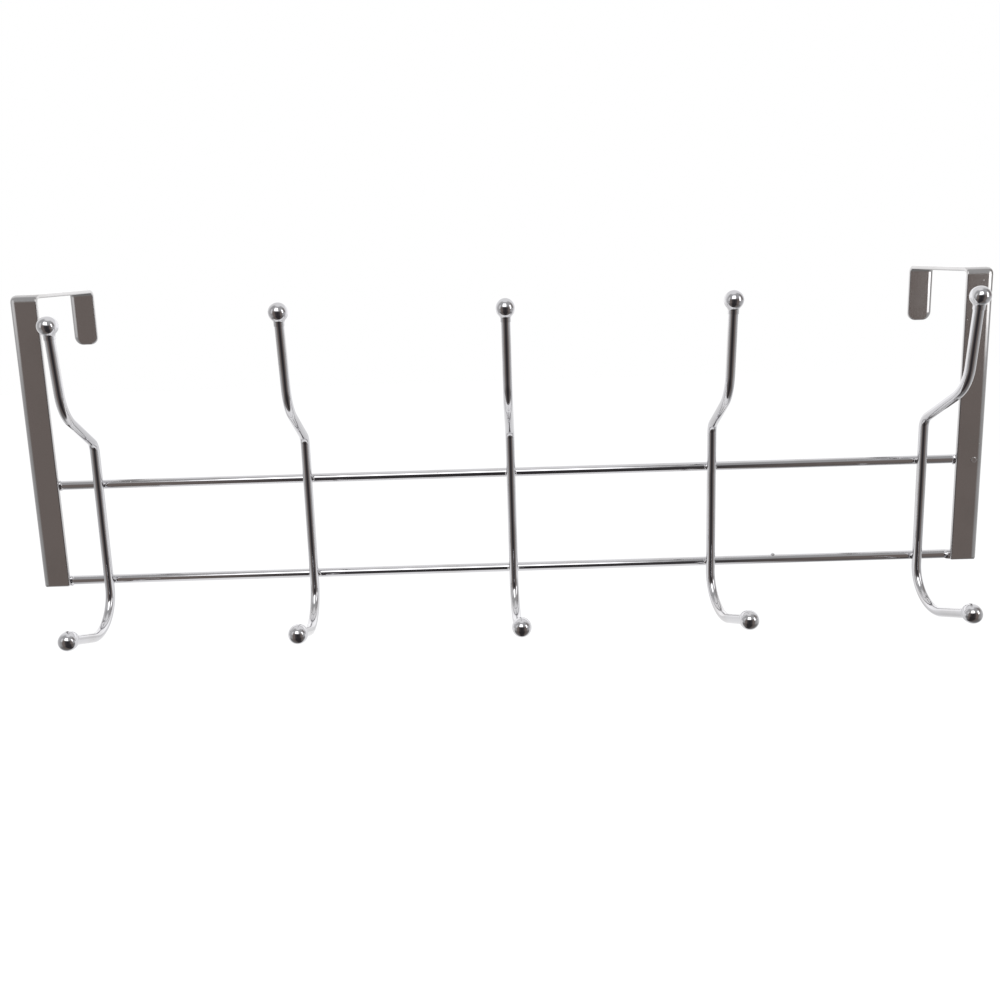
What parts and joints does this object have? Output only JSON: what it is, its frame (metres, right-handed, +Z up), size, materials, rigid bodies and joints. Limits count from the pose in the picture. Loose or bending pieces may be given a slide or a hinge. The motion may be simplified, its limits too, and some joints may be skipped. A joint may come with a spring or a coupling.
{
  "type": "over-door hook rack",
  "caption": "Chrome-plated wire rack that hangs over the top of a door on bent flat straps and carries a row of ball-tipped double hooks.",
  "frame": {"origin": "middle of the rack, at the top front edge of the door that it hangs on: Y = 0 is the door's face, which the rails touch, and Z = 0 is the door's top", "axes": "+X along the rack to the right as seen by someone facing the hooks, +Y into the door, +Z up"},
  "size_m": [0.37, 0.0882, 0.1311],
  "materials": {
    "strap_chrome": "bright chrome plate on rolled steel strap",
    "wire_chrome": "bright chrome plate on drawn steel wire",
    "ball_chrome": "polished bright chrome plate"
  },
  "bodies": {
    "root": {"left_bracket": "strap_chrome", "right_bracket": "strap_chrome", "upper_rail": "wire_chrome", "lower_rail": "wire_chrome", "hook_1": "wire_chrome", "hook_1_top_ball": "ball_chrome", "hook_1_bottom_ball": "ball_chrome", "hook_2": "wire_chrome", "hook_2_top_ball": "ball_chrome", "hook_2_bottom_ball": "ball_chrome", "hook_3": "wire_chrome", "hook_3_top_ball": "ball_chrome", "hook_3_bottom_ball": "ball_chrome", "hook_4": "wire_chrome", "hook_4_top_ball": "ball_chrome", "hook_4_bottom_ball": "ball_chrome", "hook_5": "wire_chrome", "hook_5_top_ball": "ball_chrome", "hook_5_bottom_ball": "ball_chrome"}
  },
  "joints": []
}
